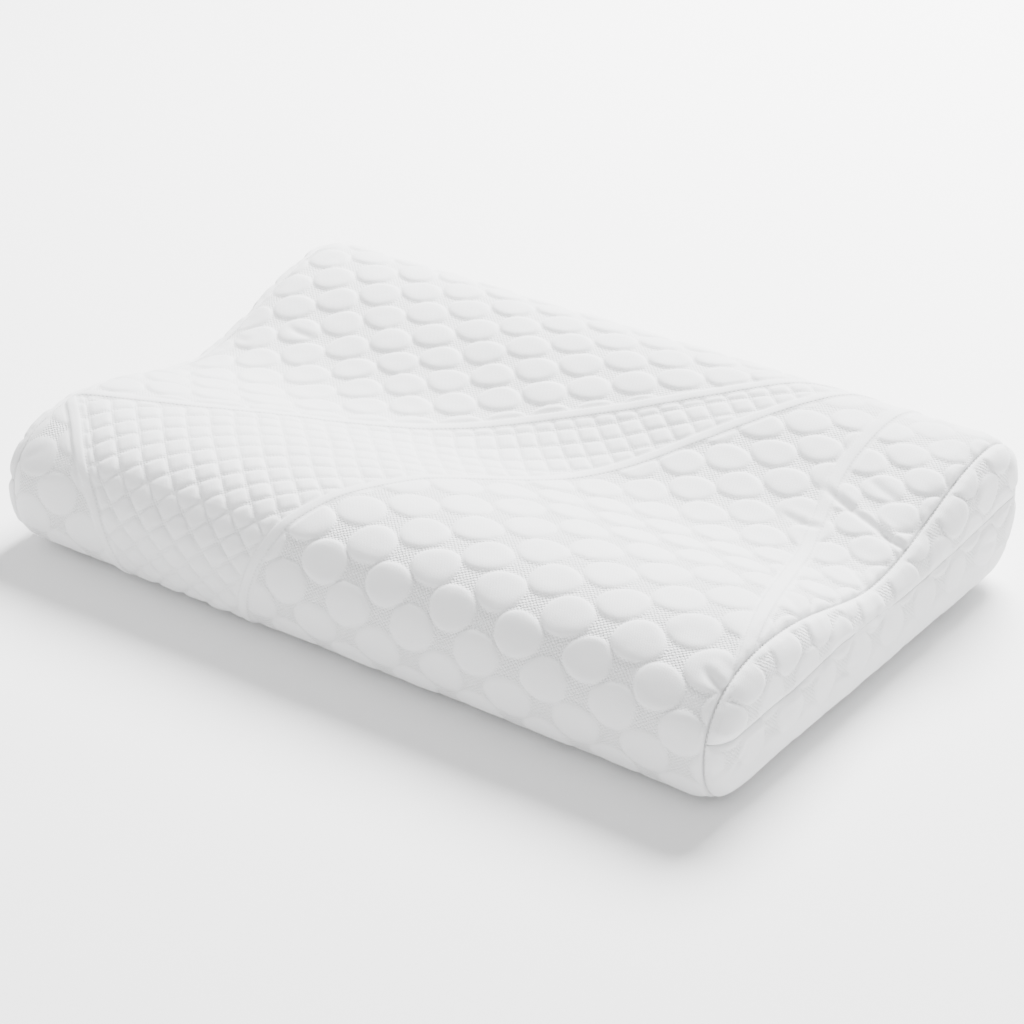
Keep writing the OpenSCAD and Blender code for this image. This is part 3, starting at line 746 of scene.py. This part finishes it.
def knit_material(name, color, jersey=1.0):
    """White quilted knit: fine jersey on the pads, open mesh between them, dotted ribbon edges, with
    painted shade in the mesh and the dots.
    """
    mat, tree, bsdf = shader(name, color, 0.88, Sheen_Weight=0.25, Sheen_Roughness=0.45,
                             Specular_IOR_Level=0.25)
    link = tree.links.new
    uv = add(tree, "ShaderNodeUVMap", uv_map="cloth")
    split = add(tree, "ShaderNodeSeparateXYZ")
    link(uv.outputs[0], split.inputs[0])
    u, v = split.outputs[0], split.outputs[1]
    gap = add(tree, "ShaderNodeAttribute", attribute_name="gap").outputs["Fac"]
    along = add(tree, "ShaderNodeAttribute", attribute_name="rib_along").outputs["Fac"]
    across = add(tree, "ShaderNodeAttribute", attribute_name="rib_across").outputs["Fac"]

    def ripple(a, b, step, turn, shift=0.0):
        """A wave with the given step in metres, turned from the length of the pillow."""
        x = math_node(tree, "MULTIPLY", a, math.cos(turn) * 2 * math.pi / step)
        y = math_node(tree, "MULTIPLY", b, math.sin(turn) * 2 * math.pi / step)
        return math_node(tree, "SINE", math_node(tree, "ADD", math_node(tree, "ADD", x, y), shift))

    uneven = add(tree, "ShaderNodeTexNoise")
    uneven.inputs["Scale"].default_value = 420
    uneven.inputs["Detail"].default_value = 2
    link(uv.outputs[0], uneven.inputs["Vector"])
    drift = math_node(tree, "MULTIPLY", uneven.outputs["Fac"], 7.0)
    mesh_a = ripple(u, v, 0.0021, 0.80, drift)
    mesh_b = ripple(u, v, 0.0021, -0.95, drift)
    crossed = math_node(tree, "MULTIPLY", math_node(tree, "ADD", mesh_a, mesh_b), 0.7)
    mesh = math_node(tree, "MULTIPLY", crossed, gap)
    rib = math_node(tree, "MULTIPLY", ripple(u, v, 0.0012, 0.0), ripple(u, v, 0.0016, math.pi / 2))
    fuzz = add(tree, "ShaderNodeTexNoise")
    fuzz.inputs["Scale"].default_value = 900
    fuzz.inputs["Detail"].default_value = 3
    link(uv.outputs[0], fuzz.inputs["Vector"])
    # Stitches sit at both edges of a ribbon, one every 3 mm
    off = math_node(tree, "SUBTRACT", math_node(tree, "ABSOLUTE", across), (RIBBON_HALF - 0.7) * MM)
    edge = math_node(tree, "ABSOLUTE", off)
    on_edge = math_node(tree, "SUBTRACT", 1.0, math_node(tree, "DIVIDE", edge, 0.0008), clamp=True)
    beat = math_node(tree, "SINE", math_node(tree, "MULTIPLY", along, 2 * math.pi / (STITCH_PITCH * MM)))
    dot = math_node(tree, "GREATER_THAN", beat, 0.1)
    stitch = math_node(tree, "MULTIPLY", on_edge, dot)

    height = math_node(tree, "MULTIPLY", mesh, 0.55)
    height = math_node(tree, "ADD", height, math_node(tree, "MULTIPLY", rib, 0.10 * jersey))
    height = math_node(tree, "ADD", height, math_node(tree, "MULTIPLY", fuzz.outputs["Fac"], 0.35 * jersey))
    height = math_node(tree, "SUBTRACT", height, math_node(tree, "MULTIPLY", stitch, 0.9))
    bump = add(tree, "ShaderNodeBump")
    bump.inputs["Strength"].default_value = 0.55
    bump.inputs["Distance"].default_value = 0.0009
    link(height, bump.inputs["Height"])
    link(bump.outputs[0], bsdf.inputs["Normal"])

    # Painted shade: the colour darkens in the open knit, most along its crossing mesh lines, and at the
    # stitch dots on the ribbon edges, standing in for the shade in their holes; the yarn is also not one
    # even white
    cloud = add(tree, "ShaderNodeTexNoise")
    cloud.inputs["Scale"].default_value = 14
    link(uv.outputs[0], cloud.inputs["Vector"])
    shade = math_node(tree, "ADD", math_node(tree, "MULTIPLY", crossed, 0.5), 0.5)
    shade = math_node(tree, "MULTIPLY", math_node(tree, "MULTIPLY", shade, gap), 0.26)
    shade = math_node(tree, "ADD", shade, math_node(tree, "MULTIPLY", gap, 0.02))
    shade = math_node(tree, "ADD", shade, math_node(tree, "MULTIPLY", cloud.outputs["Fac"], 0.14))
    # Painted shade at the stitch dots along the ribbon edges
    shade = math_node(tree, "ADD", shade, math_node(tree, "MULTIPLY", stitch, 0.3), clamp=True)
    mix = add(tree, "ShaderNodeMix", data_type="RGBA")
    link(shade, mix.inputs[0])
    mix.inputs[6].default_value = (*color, 1)
    mix.inputs[7].default_value = (*[c * 0.72 for c in color], 1)
    link(mix.outputs[2], bsdf.inputs["Base Color"])
    return mat


def plain_material(name, color, rough, scale, bump_size, vary=0.05, **sockets):
    """A material with a fine noise in its colour and surface, for threads, foam, metal and tape."""
    mat, tree, bsdf = shader(name, color, rough, **sockets)
    link = tree.links.new
    place = add(tree, "ShaderNodeTexCoord")
    noise = add(tree, "ShaderNodeTexNoise")
    noise.inputs["Scale"].default_value = scale
    noise.inputs["Detail"].default_value = 4
    link(place.outputs["Object"], noise.inputs["Vector"])
    mix = add(tree, "ShaderNodeMix", data_type="RGBA")
    link(noise.outputs["Fac"], mix.inputs[0])
    mix.inputs[6].default_value = (*[c * (1 - vary) for c in color], 1)
    mix.inputs[7].default_value = (*[min(c * (1 + vary), 1) for c in color], 1)
    link(mix.outputs[2], bsdf.inputs["Base Color"])
    bump = add(tree, "ShaderNodeBump")
    bump.inputs["Strength"].default_value = 0.4
    bump.inputs["Distance"].default_value = bump_size
    link(noise.outputs["Fac"], bump.inputs["Height"])
    link(bump.outputs[0], bsdf.inputs["Normal"])
    return mat


WHITE = (0.86, 0.865, 0.87)
KNIT = knit_material("quilted_knit", WHITE)
THREAD = plain_material("white_thread", (0.80, 0.80, 0.80), 0.7, 2500, 0.0002, Sheen_Weight=0.2)
FOAM = plain_material("moulded_foam", (0.86, 0.80, 0.62), 0.95, 1400, 0.0006, 0.08)
LINER = plain_material("liner_jersey", (0.84, 0.84, 0.83), 0.9, 1800, 0.0003, Sheen_Weight=0.3)
TAPE = plain_material("zip_tape", (0.82, 0.82, 0.82), 0.85, 2200, 0.0002, Sheen_Weight=0.2)
COIL = plain_material("nylon_coil", (0.84, 0.84, 0.83), 0.35, 900, 0.0001, 0.03)
METAL = plain_material("nickel_plate", (0.42, 0.41, 0.40), 0.3, 500, 0.0001, 0.08, Metallic=1.0)
LABEL = plain_material("satin_label", (0.87, 0.87, 0.86), 0.5, 1600, 0.0001, 0.03, Sheen_Weight=0.3)


def finish_piece(obj, mat, nodes):
    obj.data.materials.append(mat)
    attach(obj, "pillow")
    if nodes:
        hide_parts(*nodes)
    return obj


# ---- Cover ----

edge_w = RIM_W - SEAM_HALF
finish_piece(long_panel("cover_top", np.linspace(-edge_w, edge_w, 455), top_rows, top_plan),
             KNIT, ["top_panel"])
finish_piece(long_panel("cover_base", np.linspace(-edge_w, edge_w, 391), base_rows, base_plan),
             KNIT, ["bottom_panel"])
for side, tag in ((-1, "left"), (1, "right")):
    for upper, half_tag in ((True, "upper"), (False, "lower")):
        finish_piece(end_panel(f"cover_end_{half_tag}_{tag}", side, upper), KNIT,
                     [f"end_{half_tag}_{tag}"])


# ---- Seam stitches ----

def stitch_row(name, points, outs, nodes):
    """A row of small plump stitches that lie end to end along a line."""
    points, outs = np.asarray(points, float), np.asarray(outs, float)
    run = np.concatenate([[0], np.cumsum(np.linalg.norm(np.diff(points, axis=0), axis=1))])
    count = int(run[-1] // STITCH_PITCH)
    mids = (np.arange(count) + 0.5) * STITCH_PITCH
    at = np.stack([np.interp(mids, run, points[:, k]) for k in range(3)], -1)
    ahead = np.stack([np.interp(mids + 0.3, run, points[:, k]) for k in range(3)], -1)
    back = np.stack([np.interp(mids - 0.3, run, points[:, k]) for k in range(3)], -1)
    out = np.stack([np.interp(mids, run, outs[:, k]) for k in range(3)], -1)
    tan = ahead - back
    tan /= np.maximum(np.linalg.norm(tan, axis=1, keepdims=True), 1e-9)
    cross = np.cross(tan, out)
    cross /= np.maximum(np.linalg.norm(cross, axis=1, keepdims=True), 1e-9)
    out = np.cross(cross, tan)
    sides = 6
    rings = [(-0.5, 0.25), (-0.3, 0.85), (0.0, 1.0), (0.3, 0.85), (0.5, 0.25)]
    verts, faces = [], []
    for n in range(count):
        start = len(verts)
        for place, wide in rings:
            dip = -0.35 * STITCH_THICK * (2 * place) ** 2
            for k in range(sides):
                a = 2 * math.pi * k / sides
                round_it = out[n] * math.sin(a) + cross[n] * math.cos(a)
                verts.append(at[n] + tan[n] * place * STITCH_LEN
                             + round_it * wide * STITCH_THICK / 2 + out[n] * dip)
        for i in range(len(rings) - 1):
            for k in range(sides):
                a, b = start + i * sides + k, start + i * sides + (k + 1) % sides
                faces.append((a, b, b + sides, a + sides))
        faces.append(tuple(start + k for k in range(sides))[::-1])
        faces.append(tuple(start + (len(rings) - 1) * sides + k for k in range(sides)))
    return finish_piece(new_object(name, np.array(verts), faces), THREAD, nodes)


for side, tag in ((-1, "left"), (1, "right")):
    run = np.append(np.arange(0, S_END, 2.0), S_END)
    w = np.full(run.shape, side * RIM_W)
    sunk = surface(w, run, SEAM_SUNK)
    proud = surface(w, run, 0.0)
    moved = swelling(surface(w, run, COVER_START))
    stitch_row(f"stitches_rim_{tag}", sunk + moved, proud - sunk, [f"rim_thread_{tag}"])
    y = np.arange(-186, 184, 2.0)
    _, _, k, out, base = end_shape(side, np.stack([y, cross_z(y)], -1))
    use = k > RIM_ANGLE + 0.03
    moved = swelling(base - COVER_START * out)
    sunk = base - SEAM_SUNK * out + moved
    stitch_row(f"stitches_cross_{tag}", sunk[use], out[use], [f"cross_thread_{tag}"])
w = np.arange(-STRAIGHT, STRAIGHT, 2.0)
zero = np.zeros(w.shape)
sunk = surface(w, zero, ROLL_DEPTH)
stitch_row("stitches_base", sunk, surface(w, zero, 0.0) - sunk, ["base_thread"])


# ---- Zip ----

def slab_faces(m, n, flip):
    """Faces of a slab made of two grids of m by n points, its outer one first."""
    total = m * n
    rim = ([i * n for i in range(m)] + [(m - 1) * n + j for j in range(1, n)]
           + [i * n + n - 1 for i in range(m - 2, -1, -1)] + [j for j in range(n - 2, 0, -1)])
    wall = [[a, b, b + total, a + total] for a, b in zip(rim, rim[1:] + rim[:1])]
    return grid_faces(m, n, flip).tolist() + (grid_faces(m, n, not flip) + total).tolist() + wall


def zip_tape(name, sign, node):
    """A woven tape under a hem, with a rib beside the coil."""
    xs = np.linspace(-ZIP_HALF, ZIP_HALF, 401)
    vs = np.linspace(0.45, 16.0, 30)
    x, v = np.meshgrid(xs, vs, indexing="ij")
    p, n = section(S_ZIP - sign * v)
    weave = np.sin(x * 2 * math.pi / 2.4) * np.sin(v * math.pi / 1.1)
    rib = 0.12 * np.sin(v * 2 * math.pi / 1.1) + 0.10 * weave
    cord_rib = 0.25 * np.exp(-((v - 4.2) / 0.5) ** 2)
    layers = []
    for depth in (TAPE_FACE - rib - cord_rib, np.full(x.shape, TAPE_BACK)):
        layer = np.stack([x, p[..., 0] - depth * n[..., 0], p[..., 1] - depth * n[..., 1]], -1)
        layers.append(layer.reshape(-1, 3))
    obj = new_object(name, np.concatenate(layers), slab_faces(*x.shape, sign > 0))
    finish_piece(obj, TAPE, [node])


def zip_coil(name, sign, node):
    """A coil of round nylon wire with flattened heads that meet the other coil's."""
    pitch, wire, per_turn, sides = 1.6, 0.36, 10, 5
    turns = int((2 * ZIP_HALF - 6) / pitch)
    t = np.arange(turns * per_turn) / per_turn
    a = 2 * math.pi * t
    x = -ZIP_HALF + 3 + t * pitch + (0.0 if sign > 0 else pitch / 2)
    head = np.cos(a)
    z = ZIP_Z + sign * (1.75 + 1.0 * np.sign(head) * np.abs(head) ** 0.7)
    y = ZIP_Y + 1.15 + 0.7 * np.sin(a)
    line = np.stack([x, y, z], -1)
    tan = np.gradient(line, axis=0)
    tan /= np.linalg.norm(tan, axis=1, keepdims=True)
    ref = np.array([1.0, 0, 0])
    n1 = np.cross(tan, ref)
    n1 /= np.maximum(np.linalg.norm(n1, axis=1, keepdims=True), 1e-6)
    n2 = np.cross(tan, n1)
    ang = np.arange(sides) * 2 * math.pi / sides
    spoke = np.cos(ang)[None, :, None] * n1[:, None] + np.sin(ang)[None, :, None] * n2[:, None]
    verts = line[:, None] + wire * spoke
    faces = [(i * sides + k, i * sides + (k + 1) % sides, (i + 1) * sides + (k + 1) % sides,
              (i + 1) * sides + k)
             for i in range(len(line) - 1) for k in range(sides)]
    faces.append(tuple(range(sides))[::-1])
    faces.append(tuple((len(line) - 1) * sides + k for k in range(sides)))
    finish_piece(new_object(name, verts.reshape(-1, 3), faces), COIL, [node])


zip_tape("tape_upper", 1, "zip_tape_upper")
zip_tape("tape_lower", -1, "zip_tape_lower")
zip_coil("coil_upper", 1, "zip_coil_upper")
zip_coil("coil_lower", -1, "zip_coil_lower")


# ---- Care label ----

def care_label():
    """A blank satin label with a hem round it and a slight curl."""
    w, h = LABEL_W, LABEL_LEN
    us, vs = np.linspace(0, 1, 57), np.linspace(0, 1, 37)
    u, v = np.meshgrid(us, vs, indexing="ij")
    x = -262 + (u - 0.5) * w
    p, n = section(S_ZIP + 9.0 + v * h)
    edge = np.minimum(np.minimum(u, 1 - u) * w, np.minimum(v, 1 - v) * h)
    lift = 0.5 + 1.4 * v**2 * (0.6 + 0.4 * np.cos(3 * u)) + 0.18 * (1 - smooth(0.8, 1.6, edge))
    layers = []
    for off in (lift + 0.28, lift - 0.28):
        layer = np.stack([x, p[..., 0] + off * n[..., 0], p[..., 1] + off * n[..., 1]], -1)
        layers.append(layer.reshape(-1, 3))
    obj = new_object("label_blank", np.concatenate(layers), slab_faces(*u.shape, True))
    finish_piece(obj, LABEL, ["care_label"])


care_label()

# ---- CAD nodes that stay ----

KEPT_NODES = {
    "foam_core": FOAM,
    "liner_sleeve": LINER, "liner_end_left": LINER, "liner_end_right": LINER,
    "zip_slider": METAL, "zip_pull_tab": METAL,
    "zip_stop_upper": METAL, "zip_stop_lower": METAL, "zip_stop_closed": METAL,
}
for node, mat in KEPT_NODES.items():
    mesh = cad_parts[node].data
    mesh.materials.clear()
    mesh.materials.append(mat)


# ---- Floor, light and camera ----

def floor():
    n = 24
    xs = np.linspace(-6000, 6000, n)
    x, y = np.meshgrid(xs, xs, indexing="ij")
    points = np.stack([x, y, np.full(x.shape, -0.6)], -1).reshape(-1, 3)
    obj = new_object("floor", points, grid_faces(n, n, flip=True))
    obj.data.materials.append(plain_material("pale_floor", (0.93, 0.93, 0.93), 0.9, 3, 0.0001, 0.01))


def lamp(name, place, aim, size, power):
    data = bpy.data.lights.new(name, "AREA")
    data.shape = "DISK"
    data.size = size
    data.energy = power
    obj = bpy.data.objects.new(name, data)
    bpy.context.scene.collection.objects.link(obj)
    obj.location = place
    obj.rotation_mode = "QUATERNION"
    obj.rotation_quaternion = (Vector(aim) - Vector(place)).to_track_quat("-Z", "Y")


def camera():
    """The photograph's view: a long lens from the front right, looking down."""
    az, el, spin = 0.653, 0.508, -0.023
    back = Vector((math.sin(az) * math.cos(el), -math.cos(az) * math.cos(el), math.sin(el)))
    right = Vector((0, 0, 1)).cross(back).normalized()
    up = back.cross(right)
    x = math.cos(spin) * right + math.sin(spin) * up
    y = -math.sin(spin) * right + math.cos(spin) * up
    eye = Vector((0, 0.0021, 0.060)) + back * 1.99957 + x * 0.004344 + y * -0.022938
    data = bpy.data.cameras.new("camera")
    data.sensor_width = 36
    data.lens = 102.83
    data.clip_start, data.clip_end = 0.05, 60
    obj = bpy.data.objects.new("camera", data)
    bpy.context.scene.collection.objects.link(obj)
    obj.matrix_world = Matrix((
        (x.x, y.x, back.x, eye.x), (x.y, y.y, back.y, eye.y), (x.z, y.z, back.z, eye.z), (0, 0, 0, 1)))
    bpy.context.scene.camera = obj


world = bpy.data.worlds.new("studio")
world.use_nodes = True
world.node_tree.nodes["Background"].inputs[0].default_value = (1, 1, 1, 1)
world.node_tree.nodes["Background"].inputs[1].default_value = 1.05
bpy.context.scene.world = world
floor()
lamp("key", (-0.25, 1.75, 2.0), (0, 0, 0.05), 1.5, 430)
lamp("fill", (-1.4, -1.6, 1.4), (0, 0, 0.05), 1.6, 10)
camera()
